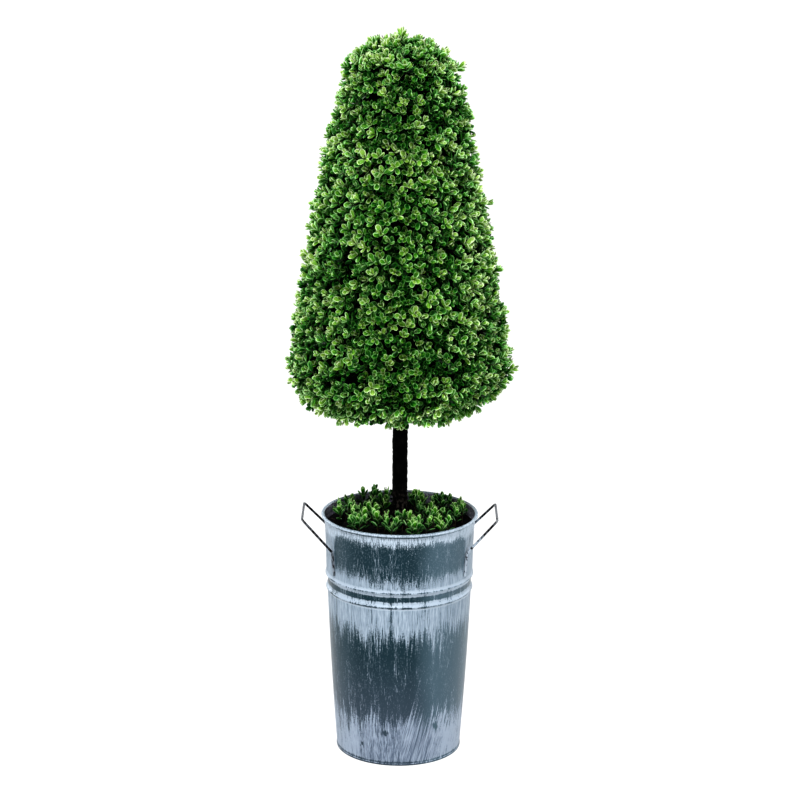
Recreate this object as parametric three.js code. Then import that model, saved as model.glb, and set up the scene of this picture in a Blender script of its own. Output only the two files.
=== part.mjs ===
// An artificial clipped-cone boxwood topiary on a straight pole, in a tapered metal florist's
// bucket with two wire handles. Millimetres, +Z up. The origin is the middle of the bucket's
// underside, the handles point along +X and -X, and -Y is the front.
import * as THREE from "three";

// ---- driving dimensions ----
const SEAT_GAP = 0.3; // clearance between pieces that rest against each other

const BUCKET_HEIGHT = 381;
const BUCKET_RIM_RADIUS = 121.3; // outside of the rolled rim
const BUCKET_FOOT_RADIUS = 96.9;
const BUCKET_WALL = 0.8;
const RIM_ROLL_RADIUS = 2.6; // section of the rolled edge
const RIM_ROLL_ARC = [-2.2, 3.4]; // its angles where it leaves the outer and the inner face
const RIM_ROLL_NECK = 3; // height of the short neck under it
const HEM_HEIGHT = 5; // crimped hem that holds the base disc
const HEM_PROUD = 0.6;
const HEM_BEVEL = 0.6;
const BODY_TOP = 256; // height at which the tapered body meets the lower bead
const BODY_TOP_RADIUS = 111.4;
const BODY_SWELL = 1.2; // how far the body's side bows out at half height
const COLLAR_RADIUS = 113.5; // straight collar above the upper bead
const COLLAR_WAIST = { height: 330, radius: 114.3 }; // where the collar starts to flare
const COLLAR_FLARE = 116.7; // the collar's radius where it meets the rolled rim
const LOWER_BEAD = { height: 263, radius: 113.9 };
const UPPER_BEAD = { height: 285, radius: 114.9 };
const BEAD_HALF = 4.5; // half the height of a pressed bead
const GROOVE_RADIUS = 111.3; // the recess between the two beads

const WIRE_RADIUS = 1.8;
const GRIP_LENGTH = 90; // between the centres of a handle's two arms
const GRIP_REACH = 149.5; // from the bucket's axis to the grip
const GRIP_HEIGHT = 381;
const ARM_FOOT_HEIGHT = 332; // where an arm leaves the wall
const LEG_FOOT_HEIGHT = 296; // lower end of the leg that lies on the wall
const ARM_SPLAY = 9; // how much farther out to its side an arm meets the wall than the grip
const LEG_SPLAY = 4; // and how much farther out again its leg ends
const WIRE_BEND = 5; // radius of the wire's bends, to its centre
const WIRE_SIDES = 8;
const BEND_STEPS = 3;

const SOIL_LEVEL = 362;
const POLE_RADIUS = 10.5;
const POLE_FOOT = 150; // the pole stands in the filling from here
const POLE_TOP = 1070;

const CROWN_FOOT = 545; // underside of the clipped cone
const CROWN_TOP = 1124;
const CORNER_RADIUS = 65; // rounding round the underside
const CORNER_HEIGHT = 610; // height of that rounding's centre
const CORNER_REACH = 107; // radius of that rounding's centre line
const SHOULDER_HEIGHT = 1054; // where the straight side turns into the dome
const SHOULDER_RADIUS = 89;
const SIDE_SWELL = 5; // how far the side bows out at half height
const UNDERSIDE_TILT = 0.032; // the underside was clipped aslant and rises towards +X,
const TILT_REACH = 120; // which fades out this far up the side
const CROWN_OFFSET = -2; // and the mass sits a little to one side of the pole
const CROWN_LUMPS = 2.6; // height of the lumps left by the shears
// The waves that make the lumps: turns round the crown, rise in mm per radian, and phase.
const CROWN_WAVES = [
  [5, 31, 0],
  [9, -19, 1.7],
  [14, 43, 4.1],
  [0, 12.5, 2.6],
];

const SPRIG_COUNT = 24; // sprigs of ground cover pushed into the filling
const SPRIG_INNER = 30; // their ring's inner and outer radius
const SPRIG_OUTER = 97;
const SPRIG_HEIGHT = 42;
const LOW_SPRIGS = [10, 12, 17, 20, 23]; // by number: those along the back wall are shorter,
const LOW_SHARE = 0.7; // by this share
const SPRIG_RADIUS = 12;
const SPRIG_SIZES = [0.88, 1.12]; // smallest and largest sprig, as a share of that size
const SPRIG_LOBES = 3;
const SPRIG_LOBE_DEPTH = 0.12; // as a share of the radius
const SPRIG_SIDES = 8;
// A sprig's outline: radius and height as shares of its own.
const SPRIG_OUTLINE = [
  [0, 0],
  [0.22, 0],
  [0.55, 0.22],
  [0.95, 0.52],
  [1, 0.76],
  [0.6, 0.95],
  [0, 1],
];

const ROUND_STEPS = 44; // facets round the bucket
const RIM_ROLL_STEPS = 8;
const CROWN_STEPS = 36; // facets round the crown
const SIDE_STEPS = 18; // rows of facets up the crown's side
const GOLDEN_RATIO = (1 + Math.sqrt(5)) / 2;
const GOLDEN_ANGLE = Math.PI * (3 - Math.sqrt(5));

// ---- materials ----
const material = (color, roughness, metalness) =>
  new THREE.MeshStandardMaterial({ color, roughness, metalness });
const washedMetal = material(0x8f9ca8, 0.55, 0.4);
const wireMetal = material(0x9a9ea2, 0.4, 0.8);
const darkSoil = material(0x1d1815, 0.95, 0);
const darkBark = material(0x120f0d, 0.9, 0);
const boxwoodLeaf = material(0x3f7a26, 0.6, 0);

// ---- helpers ----
const point = (r, z) => new THREE.Vector2(r, z);

// A solid of revolution about +Z from a profile of (radius, height) points.
function turned(profile, steps) {
  return new THREE.LatheGeometry(profile, steps).rotateX(Math.PI / 2);
}

// Points of an elliptical arc in the (radius, height) plane, both ends included.
function arc(r, z, radiusR, radiusZ, from, to, steps) {
  return Array.from({ length: steps + 1 }, (_, i) => {
    const a = from + ((to - from) * i) / steps;
    return point(r + radiusR * Math.cos(a), z + radiusZ * Math.sin(a));
  });
}

function named(name, geometry, look) {
  const mesh = new THREE.Mesh(geometry, look);
  mesh.name = name;
  return mesh;
}

// ---- bucket ----
// A pressed bead: out to its crest and back to the given radii above and below.
function bead({ height, radius }, below, above) {
  return [
    point(below, height - BEAD_HALF),
    point(radius, height - BEAD_HALF / 4),
    point(radius, height + BEAD_HALF / 4),
    point(above, height + BEAD_HALF),
  ];
}

// The sheet's outer face, from the hem up to the underside of the rolled rim.
function wallLine() {
  const side = [0, 0.5, 1].map((t) =>
    point(
      THREE.MathUtils.lerp(BUCKET_FOOT_RADIUS, BODY_TOP_RADIUS, t) +
        BODY_SWELL * Math.sin(Math.PI * t),
      THREE.MathUtils.lerp(HEM_HEIGHT, BODY_TOP, t),
    ),
  );
  return [
    ...side,
    ...bead(LOWER_BEAD, BODY_TOP_RADIUS, GROOVE_RADIUS),
    ...bead(UPPER_BEAD, GROOVE_RADIUS, COLLAR_RADIUS),
    point(COLLAR_WAIST.radius, COLLAR_WAIST.height),
    point(COLLAR_FLARE, BUCKET_HEIGHT - 2 * RIM_ROLL_RADIUS - RIM_ROLL_NECK),
  ];
}

// Radius of the outer face at a height, read off its line.
function wallRadius(height) {
  const line = wallLine();
  const i = Math.max(1, line.findIndex((p) => p.y >= height));
  const [a, b] = [line[i - 1], line[i]];
  return THREE.MathUtils.lerp(a.x, b.x, (height - a.y) / (b.y - a.y));
}

function bucketWall() {
  const outer = wallLine();
  const inner = outer.map((p) => point(p.x - BUCKET_WALL, p.y)).reverse();
  const roll = arc(
    BUCKET_RIM_RADIUS - RIM_ROLL_RADIUS,
    BUCKET_HEIGHT - RIM_ROLL_RADIUS,
    RIM_ROLL_RADIUS,
    RIM_ROLL_RADIUS,
    ...RIM_ROLL_ARC,
    RIM_ROLL_STEPS,
  );
  const footOuter = BUCKET_FOOT_RADIUS + HEM_PROUD;
  const footInner = BUCKET_FOOT_RADIUS - BUCKET_WALL;
  return turned(
    [
      point(footInner, 0),
      point(footOuter, 0),
      point(footOuter, HEM_HEIGHT - HEM_BEVEL),
      ...outer,
      ...roll,
      ...inner,
      point(footInner, 0),
    ],
    ROUND_STEPS,
  );
}

function bucketBase() {
  const radius = BUCKET_FOOT_RADIUS - BUCKET_WALL - SEAT_GAP;
  return turned(
    [point(0, 0), point(radius, 0), point(radius, BUCKET_WALL), point(0, BUCKET_WALL)],
    ROUND_STEPS,
  );
}

// ---- wire handles ----
// A bent wire's centre line: straight runs between corners, each rounded to one radius. Its
// stations lie only at the ends and along the bends, so that straight runs cost no facets.
class BentWire extends THREE.Curve {
  constructor(corners, bendRadius, bendSteps) {
    super();
    this.places = [corners[0]];
    this.headings = [corners[1].clone().sub(corners[0]).normalize()];
    for (let i = 1; i < corners.length - 1; i++) this.bend(corners, i, bendRadius, bendSteps);
    const last = corners.length - 1;
    this.places.push(corners[last]);
    this.headings.push(corners[last].clone().sub(corners[last - 1]).normalize());
  }

  bend(corners, i, radius, steps) {
    const before = corners[i].clone().sub(corners[i - 1]).normalize();
    const after = corners[i + 1].clone().sub(corners[i]).normalize();
    const turn = before.angleTo(after);
    const cut = radius * Math.tan(turn / 2);
    const start = corners[i].clone().addScaledVector(before, -cut);
    const inward = after.clone().addScaledVector(before, -Math.cos(turn)).normalize();
    for (let s = 0; s <= steps; s++) {
      const a = (turn * s) / steps;
      this.places.push(
        start
          .clone()
          .addScaledVector(before, radius * Math.sin(a))
          .addScaledVector(inward, radius * (1 - Math.cos(a))),
      );
      this.headings.push(
        before.clone().multiplyScalar(Math.cos(a)).addScaledVector(inward, Math.sin(a)),
      );
    }
  }

  get steps() {
    return this.places.length - 1;
  }

  getPoint(t, target = new THREE.Vector3()) {
    return target.copy(this.places[Math.round(t * this.steps)]);
  }

  getPointAt(u, target) {
    return this.getPoint(u, target);
  }

  getTangentAt(u, target = new THREE.Vector3()) {
    return target.copy(this.headings[Math.round(u * this.steps)]);
  }
}

// A place on the wire's path where it lies against the bucket's wall.
function onWall(y, height) {
  const r = wallRadius(height) + WIRE_RADIUS + SEAT_GAP;
  return new THREE.Vector3(Math.sqrt(r * r - y * y), y, height);
}

function handle() {
  const half = GRIP_LENGTH / 2;
  const front = [
    onWall(-half - ARM_SPLAY - LEG_SPLAY, LEG_FOOT_HEIGHT),
    onWall(-half - ARM_SPLAY, ARM_FOOT_HEIGHT),
    new THREE.Vector3(GRIP_REACH, -half, GRIP_HEIGHT),
  ];
  const back = front.map((p) => new THREE.Vector3(p.x, -p.y, p.z)).reverse();
  const wire = new BentWire([...front, ...back], WIRE_BEND, BEND_STEPS);
  const section = new THREE.Shape();
  for (let i = 0; i < WIRE_SIDES; i++) {
    const a = (2 * Math.PI * i) / WIRE_SIDES;
    const [x, y] = [WIRE_RADIUS * Math.cos(a), WIRE_RADIUS * Math.sin(a)];
    if (i) section.lineTo(x, y);
    else section.moveTo(x, y);
  }
  return new THREE.ExtrudeGeometry(section, { steps: wire.steps, extrudePath: wire });
}

// ---- filling and pole ----
function filling() {
  const bottom = BUCKET_WALL + SEAT_GAP;
  const inset = BUCKET_WALL + SEAT_GAP;
  const bore = POLE_RADIUS + SEAT_GAP;
  const side = wallLine().filter((p) => p.y > HEM_HEIGHT && p.y < SOIL_LEVEL);
  return turned(
    [
      point(0, bottom),
      point(BUCKET_FOOT_RADIUS - inset - SEAT_GAP, bottom),
      ...side.map((p) => point(p.x - inset, p.y)),
      point(wallRadius(SOIL_LEVEL) - inset, SOIL_LEVEL),
      point(bore, SOIL_LEVEL),
      point(bore, POLE_FOOT - SEAT_GAP),
      point(0, POLE_FOOT - SEAT_GAP),
    ],
    ROUND_STEPS,
  );
}

function pole() {
  return turned(
    [
      point(0, POLE_FOOT),
      point(POLE_RADIUS, POLE_FOOT),
      point(POLE_RADIUS, POLE_TOP),
      point(0, POLE_TOP),
    ],
    ROUND_STEPS / 2,
  );
}

// ---- crown ----
// The clipped cone's outline, from the edge of the pole's hole in its underside, out round the
// corner and up the side to the middle of the dome.
function crownLine(hole) {
  const edge = CORNER_REACH + CORNER_RADIUS;
  const batter = Math.atan2(edge - SHOULDER_RADIUS, SHOULDER_HEIGHT - CORNER_HEIGHT);
  const roundSteps = SIDE_STEPS / 3;
  const corner = arc(
    CORNER_REACH,
    CORNER_HEIGHT,
    CORNER_RADIUS,
    CORNER_RADIUS,
    -Math.PI / 2,
    batter,
    roundSteps,
  );
  const foot = corner.pop();
  const side = Array.from({ length: SIDE_STEPS }, (_, i) => {
    const t = i / SIDE_STEPS;
    const bow = SIDE_SWELL * Math.sin(Math.PI * t);
    const r = THREE.MathUtils.lerp(foot.x, SHOULDER_RADIUS, t) + bow;
    return point(r, THREE.MathUtils.lerp(foot.y, SHOULDER_HEIGHT, t));
  });
  const domeHeight = CROWN_TOP - SHOULDER_HEIGHT;
  const dome = arc(0, SHOULDER_HEIGHT, SHOULDER_RADIUS, domeHeight, 0, Math.PI / 2, roundSteps);
  dome[dome.length - 1].x = 0;
  const under = [hole, (hole + CORNER_REACH) / 2].map((r) => point(r, CROWN_FOOT));
  return [...under, ...corner, ...side, ...dome];
}

// Lumps of a clipped surface: a smooth sum of waves over the direction and the height.
function lump(angle, z) {
  const sum = CROWN_WAVES.reduce(
    (total, [turns, rise, phase]) => total + Math.sin(turns * angle + z / rise + phase),
    0,
  );
  return (CROWN_LUMPS * sum) / CROWN_WAVES.length;
}

// The mass of leaves: one solid with an uneven face, bored from below to sit on the pole.
function crown() {
  const bore = POLE_RADIUS + SEAT_GAP;
  const hole = [point(0, POLE_TOP + SEAT_GAP), point(bore, POLE_TOP + SEAT_GAP)];
  const outline = crownLine(bore);
  const profile = [...hole, ...outline];
  const geometry = turned(profile, CROWN_STEPS);
  const places = geometry.getAttribute("position");
  for (let i = 0; i < places.count; i++) {
    const row = i % profile.length;
    if (row <= hole.length || row === profile.length - 1) continue;
    const [x, y, z] = [places.getX(i), places.getY(i), places.getZ(i)];
    const swell = 1 + lump(Math.atan2(y, x), z) / Math.hypot(x, y);
    const low = Math.max(0, 1 - (z - CROWN_FOOT) / TILT_REACH);
    places.setXYZ(i, x * swell + CROWN_OFFSET, y * swell, z + UNDERSIDE_TILT * x * low);
  }
  return geometry;
}

// ---- ground cover ----
// One sprig's mass: narrow at its foot, with a leafy, lobed waist.
function sprigMass(index) {
  const size = THREE.MathUtils.lerp(...SPRIG_SIZES, (index * GOLDEN_RATIO) % 1);
  const height = SPRIG_HEIGHT * (LOW_SPRIGS.includes(index + 1) ? LOW_SHARE : 1);
  const profile = SPRIG_OUTLINE.map(([r, z]) =>
    point(r * SPRIG_RADIUS * size, z * height * size),
  );
  const geometry = turned(profile, SPRIG_SIDES);
  const places = geometry.getAttribute("position");
  for (let i = 0; i < places.count; i++) {
    const [x, y, z] = [places.getX(i), places.getY(i), places.getZ(i)];
    const lobe = Math.sin(SPRIG_LOBES * Math.atan2(y, x) + z / SPRIG_RADIUS + index);
    const swell = 1 + SPRIG_LOBE_DEPTH * lobe;
    places.setXYZ(i, x * swell, y * swell, z);
  }
  return geometry;
}

// Sprigs follow a sunflower spiral over the filling, so that they stand evenly apart.
function sprigPlace(index) {
  const t = (index + 0.5) / SPRIG_COUNT;
  const r = Math.sqrt(THREE.MathUtils.lerp(SPRIG_INNER ** 2, SPRIG_OUTER ** 2, t));
  const a = index * GOLDEN_ANGLE;
  return new THREE.Vector3(r * Math.cos(a), r * Math.sin(a), SOIL_LEVEL + SEAT_GAP);
}

// ---- assembly ----
const topiary = new THREE.Group();
topiary.name = "boxwood_cone_topiary";

const planter = new THREE.Group();
planter.add(named("bucket_wall", bucketWall(), washedMetal));
planter.add(named("bucket_base", bucketBase(), washedMetal));
["right", "left"].forEach((side, i) => {
  const wire = named(`handle_${side}`, handle(), wireMetal);
  wire.rotation.z = i * Math.PI;
  planter.add(wire);
});
planter.add(named("filling", filling(), darkSoil));
topiary.add(planter);

const cover = new THREE.Group();
for (let i = 0; i < SPRIG_COUNT; i++) {
  const sprig = named(`ground_sprig_${String(i + 1).padStart(2, "0")}`, sprigMass(i), boxwoodLeaf);
  sprig.position.copy(sprigPlace(i));
  cover.add(sprig);
}
topiary.add(cover);

const tree = new THREE.Group();
tree.add(named("trunk_pole", pole(), darkBark));
tree.add(named("crown_foliage", crown(), boxwoodLeaf));
topiary.add(tree);

export default topiary;
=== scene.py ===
# %% [markdown]
# # A clipped boxwood cone in a whitewashed bucket
#
# The object is an artificial topiary: moulded boxwood sprigs on a hidden former, a straight
# dark pole, and a tapered sheet-metal bucket filled with dark potting grit. The CAD model is
# loaded as a fixed frame. Every piece made here takes its place and size from that frame, so
# nothing is fitted by eye afterwards.

# %% Load the frame
import math
import random

import bmesh
import bpy
import numpy as np
from mathutils import Matrix, Vector, noise


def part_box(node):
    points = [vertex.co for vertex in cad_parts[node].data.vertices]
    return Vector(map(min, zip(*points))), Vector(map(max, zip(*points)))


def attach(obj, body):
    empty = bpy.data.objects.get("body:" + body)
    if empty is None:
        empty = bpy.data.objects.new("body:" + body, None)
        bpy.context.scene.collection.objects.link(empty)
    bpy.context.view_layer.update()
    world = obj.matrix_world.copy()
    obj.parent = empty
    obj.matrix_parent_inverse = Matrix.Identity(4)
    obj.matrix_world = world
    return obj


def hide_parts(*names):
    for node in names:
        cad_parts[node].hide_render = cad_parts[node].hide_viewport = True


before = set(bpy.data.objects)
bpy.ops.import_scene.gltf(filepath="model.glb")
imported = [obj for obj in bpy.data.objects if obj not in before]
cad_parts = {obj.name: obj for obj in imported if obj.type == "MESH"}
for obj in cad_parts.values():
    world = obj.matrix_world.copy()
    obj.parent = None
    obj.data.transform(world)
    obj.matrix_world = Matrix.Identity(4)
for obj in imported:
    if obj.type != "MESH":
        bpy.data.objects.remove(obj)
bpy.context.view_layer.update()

MM = 0.001
SEED = 20
scene = bpy.context.scene

# %% [markdown]
# ## Helpers for modelling
#
# Operators act on whatever is selected, and the loaded frame comes in selected. So each new
# primitive starts from a clean selection. A finished piece has its place in its mesh, rides on
# the model's body and hides the CAD nodes that it stands for.


# %% Modelling helpers
def deselect_all():
    bpy.ops.object.select_all(action="DESELECT")


def started(name, add, **settings):
    """Adds a primitive with the given operator and returns it, selected alone, under its name."""
    deselect_all()
    add(**settings)
    piece = bpy.context.object
    piece.name = piece.data.name = name
    return piece


def select_only(piece):
    deselect_all()
    piece.select_set(True)
    bpy.context.view_layer.objects.active = piece


def edit_all():
    """Goes into edit mode with the whole mesh selected."""
    bpy.ops.object.mode_set(mode="EDIT")
    bpy.ops.mesh.select_all(action="SELECT")


def stop_editing():
    bpy.ops.object.mode_set(mode="OBJECT")


def weld_and_stop(gap):
    """Joins corners that meet, turns the faces outwards and leaves edit mode."""
    bpy.ops.mesh.select_all(action="SELECT")
    bpy.ops.mesh.remove_doubles(threshold=gap)
    bpy.ops.mesh.normals_make_consistent(inside=False)
    bpy.ops.mesh.select_mode(type="VERT")
    stop_editing()


class Copies:
    """Gathers moved copies of small meshes, then joins them into one object.

    Places are n x 3, faces are m x 3 and slots are one material index per face."""

    def __init__(self):
        self.places, self.faces, self.slots = [], [], []
        self.count = 0

    def add(self, places, faces, slots):
        self.places.append(places)
        self.faces.append(faces + self.count)
        self.slots.append(slots)
        self.count += len(places)

    def joined(self, name, smooth=True):
        arrays = (self.places, self.faces, self.slots)
        places, faces, slots = (np.concatenate(part) for part in arrays)
        mesh = bpy.data.meshes.new(name)
        mesh.vertices.add(len(places))
        mesh.vertices.foreach_set("co", np.asarray(places, dtype=np.float32).ravel())
        mesh.loops.add(faces.size)
        mesh.loops.foreach_set("vertex_index", faces.astype(np.int32).ravel())
        mesh.polygons.add(len(faces))
        mesh.polygons.foreach_set("loop_start", np.arange(0, faces.size, 3, dtype=np.int32))
        mesh.polygons.foreach_set("loop_total", np.full(len(faces), 3, dtype=np.int32))
        mesh.polygons.foreach_set("material_index", slots.astype(np.int32))
        mesh.polygons.foreach_set("use_smooth", np.full(len(faces), smooth))
        mesh.update(calc_edges=True)
        mesh.validate()
        piece = bpy.data.objects.new(name, mesh)
        scene.collection.objects.link(piece)
        return piece


def finished(piece, finishes, replaced):
    """Fixes the piece's place in its mesh, gives it its finishes and ties it to the frame."""
    select_only(piece)
    bpy.ops.object.transform_apply(location=True, rotation=True, scale=True)
    for finish in finishes:
        piece.data.materials.append(finish)
    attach(piece, "root")
    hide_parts(*replaced)
    triangles = sum(len(face.vertices) - 2 for face in piece.data.polygons)
    print(f"{piece.name}: {triangles} triangles")


# %% [markdown]
# ## Helpers for finishes
#
# A finish is a Principled material whose colour and relief are worked out from the place on the
# object. That reads best as arithmetic, so a small class wraps a socket and adds a Math node for
# each operator.


# %% Finish helpers
class Signal:
    """A number that varies over a surface. Arithmetic on it adds Math nodes."""

    def __init__(self, finish, socket):
        self.finish = finish
        self.socket = socket

    def _math(self, operation, *values):
        return self.finish.node("ShaderNodeMath", {"operation": operation}, dict(enumerate(values)))

    def __add__(self, other):
        return self._math("ADD", self, other)

    def __sub__(self, other):
        return self._math("SUBTRACT", self, other)

    def __rsub__(self, other):
        return self._math("SUBTRACT", other, self)

    def __mul__(self, other):
        return self._math("MULTIPLY", self, other)

    __radd__ = __add__
    __rmul__ = __mul__

    def smooth(self, low, high):
        """0 below low, 1 above high, and a smooth step between them."""
        settings = {"interpolation_type": "SMOOTHSTEP"}
        return self.finish.node("ShaderNodeMapRange", settings, {0: self, 1: low, 2: high})

    def at_least(self, other):
        return self._math("MAXIMUM", self, other)


class Finish:
    """A Principled material. Constants go on its own sockets; signals are worked out by nodes."""

    def __init__(self, name, **constants):
        self.material = bpy.data.materials.new(name)
        self.material.use_nodes = True
        self.tree = self.material.node_tree
        self.shader = self.tree.nodes["Principled BSDF"]
        for socket, value in constants.items():
            self.shader.inputs[socket.replace("_", " ")].default_value = value

    def node(self, kind, settings=None, values=None, output=0):
        """Adds a node, sets it up, then fills its sockets with values or links."""
        node = self.tree.nodes.new(kind)
        for setting, value in (settings or {}).items():
            if setting == "stops":
                self._set_stops(node.color_ramp, value)
            else:
                setattr(node, setting, value)
        for socket, value in (values or {}).items():
            if isinstance(value, Signal):
                self.tree.links.new(value.socket, node.inputs[socket])
            else:
                node.inputs[socket].default_value = value
        return Signal(self, node.outputs[output])

    def _set_stops(self, ramp, stops):
        while len(ramp.elements) < len(stops):
            ramp.elements.new(1.0)
        for element, (position, value) in zip(ramp.elements, stops):
            element.position = position
            element.color = (value, value, value, 1.0)

    def feed(self, socket, signal):
        self.tree.links.new(signal.socket, self.shader.inputs[socket])

    def place(self):
        """The point's place on the object."""
        return self.node("ShaderNodeTexCoord", output=3)

    def axis(self, place, name):
        """One of X, Y and Z of a place."""
        return self.node("ShaderNodeSeparateXYZ", values={0: place}, output=name)

    def stretched(self, place, scale):
        settings = {"vector_type": "POINT"}
        return self.node("ShaderNodeMapping", settings, {"Vector": place, "Scale": scale})

    def grain(self, place, scale, detail=2.0, roughness=0.5):
        """Noise around 0.5 at a place that is stretched by scale."""
        vector = self.stretched(place, scale)
        values = {"Vector": vector, "Scale": 1.0, "Detail": detail, "Roughness": roughness}
        return self.node("ShaderNodeTexNoise", {"noise_dimensions": "3D"}, values)

    def ramp(self, signal, stops):
        """A straight-line map of a 0 to 1 signal through stops of (position, value).

        One Color Ramp node holds 32 stops, so a longer list is the sum of two ramps."""
        if len(stops) > 32:
            half = len(stops) // 2
            edge = stops[half][0]
            first = [*stops[: half + 1], (edge + 1e-6, 0.0)]
            second = [(edge, 0.0), (edge + 1e-6, stops[half][1]), *stops[half + 1 :]]
            return self.ramp(signal, first) + self.ramp(signal, second)
        return self.node("ShaderNodeValToRGB", {"stops": stops}, {0: signal})

    def blend(self, factor, first, second):
        """A colour between two colours or colour signals."""
        settings = {"data_type": "RGBA"}
        return self.node("ShaderNodeMix", settings, {0: factor, 6: first, 7: second}, output=2)

    def relief(self, height, distance, strength=1.0):
        """Feeds a height signal to the shader's normal."""
        values = {"Height": height, "Distance": distance, "Strength": strength}
        self.feed("Normal", self.node("ShaderNodeBump", values=values))


def linear(red, green, blue):
    """A screen colour, 0 to 255 a channel, as the linear colour that shaders use."""
    channels = [value / 255 for value in (red, green, blue)]
    return (*[v / 12.92 if v <= 0.04045 else ((v + 0.055) / 1.055) ** 2.4 for v in channels], 1.0)


# %% [markdown]
# ## Camera, floor and light
#
# A long lens looks slightly down on the plant from the front. The floor is plain and pale, and
# the light is soft: one main box above and in front, a small one overhead, a fill at each side
# and two wide boxes behind that draw bright edges on the metal. Only the camera's own rays see
# the floor and the surrounding as glowing white. Lit that brightly they would wash out the thin
# dark parts and the shadows under the leaves.

# %% Camera
CAMERA_PLACE = Vector((-0.0008, -3.5531, 1.4697))
CAMERA_PITCH = math.radians(14.37)
CAMERA_ROLL = math.radians(0.39)
LENS, SENSOR_WIDTH = 108.0, 36.0  # mm
FARTHEST = 200.0

camera_data = bpy.data.cameras.new("camera")
camera_data.lens = LENS
camera_data.sensor_width = SENSOR_WIDTH
camera_data.clip_end = FARTHEST
camera = bpy.data.objects.new("camera", camera_data)
scene.collection.objects.link(camera)
facing = Matrix.Rotation(math.pi / 2 - CAMERA_PITCH, 4, "X") @ Matrix.Rotation(CAMERA_ROLL, 4, "Z")
camera.matrix_world = Matrix.Translation(CAMERA_PLACE) @ facing
scene.camera = camera
print("camera at", [round(v, 3) for v in CAMERA_PLACE])

# %% Floor and light
FLOOR_WIDTH = 80.0
FLOOR_GLOW = 0.76
FLOOR_LIT, FLOOR_SEEN = (0.72, 0.72, 0.72, 1.0), (0.03, 0.03, 0.03, 1.0)
SURROUND_LIGHT, SURROUND_SEEN = 0.25, 1.0
AIM = Vector((0.0, 0.0, 0.6))  # the middle of the plant, where every lamp points
SOFT_BOXES = [
    # name, place, size, power
    ("key_light", (-0.5, -2.5, 3.5), 0.8, 120.0),
    ("top_light", (0.3, 0.0, 3.8), 1.0, 22.0),
    ("left_fill", (-2.5, -1.5, 1.2), 0.9, 27.0),
    ("right_fill", (2.5, -1.5, 1.2), 0.9, 33.0),
    ("left_box", (-1.9, 2.3, 1.1), 1.8, 24.0),
    ("right_box", (1.9, 2.3, 1.1), 1.8, 24.0),
]

floor = started("floor", bpy.ops.mesh.primitive_plane_add, size=FLOOR_WIDTH)
pale = Finish("pale_floor", Roughness=0.9, Specular_IOR_Level=0.0, Emission_Strength=FLOOR_GLOW)
seen = pale.node("ShaderNodeLightPath", output="Is Camera Ray")
pale.feed("Emission Color", seen)
pale.feed("Base Color", pale.blend(seen, FLOOR_LIT, FLOOR_SEEN))
floor.data.materials.append(pale.material)

world = bpy.data.worlds.new("studio")
world.use_nodes = True
nodes, links = world.node_tree.nodes, world.node_tree.links
surround = nodes["Background"]
surround.inputs["Color"].default_value = (1.0, 1.0, 1.0, 1.0)
lift = nodes.new("ShaderNodeMapRange")
lift.inputs["To Min"].default_value = SURROUND_LIGHT
lift.inputs["To Max"].default_value = SURROUND_SEEN
links.new(nodes.new("ShaderNodeLightPath").outputs["Is Camera Ray"], lift.inputs["Value"])
links.new(lift.outputs["Result"], surround.inputs["Strength"])
scene.world = world
scene.view_settings.view_transform = "Standard"
scene.view_settings.look = "High Contrast"

for name, place, size, power in SOFT_BOXES:
    light_data = bpy.data.lights.new(name, "AREA")
    light_data.shape = "DISK"
    light_data.size = size
    light_data.energy = power
    light = bpy.data.objects.new(name, light_data)
    scene.collection.objects.link(light)
    facing = (AIM - Vector(place)).to_track_quat("-Z", "Y")
    light.matrix_world = Matrix.Translation(place) @ facing.to_matrix().to_4x4()
print("lights:", [name for name, *_ in SOFT_BOXES])

# %% [markdown]
# ## Leaf
#
# A boxwood leaf is a small oval, widest past its middle, cupped like a spoon. Its rim round the
# tip is coloured a paler green and the blade near its tip a tone paler than the rest: painted
# highlights where the cup catches the light. It starts as a ten-sided disc. An inset makes the
# rim, a poke gives the blade a centre to sink, and moving the corners gives the outline. It is
# kept to a few dozen faces, because there are tens of thousands of copies.

# %% Model one leaf
LEAF_LENGTH = 16.2 * MM
LEAF_WIDTH = 9.3 * MM
LEAF_CUP = 2.0 * MM
TIP_BLUNTNESS = 1.12
RIM_WIDTH = 0.24  # of the disc's radius
# Past the first share the rim takes a paler green, and past the second the blade a tone paler:
# painted highlights on the leaf's edge and tip.
RIM_FROM, TIP_HIGHLIGHT_FROM = 0.30, 0.70  # shares of the leaf's length
STALK_END_WIDTH = 0.3  # of the full width
CENTRE_SINK, BLADE_SINK = 0.60, 0.34  # of the cup's depth


def leaf_model():
    disc = {"vertices": 10, "radius": 1.0, "fill_type": "NGON"}
    leaf = started("leaf", bpy.ops.mesh.primitive_circle_add, **disc)
    edit_all()
    bpy.ops.mesh.inset(thickness=RIM_WIDTH)
    bpy.ops.mesh.poke()
    bpy.ops.mesh.select_all(action="SELECT")
    bpy.ops.mesh.quads_convert_to_tris()
    stop_editing()
    return leaf


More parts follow.
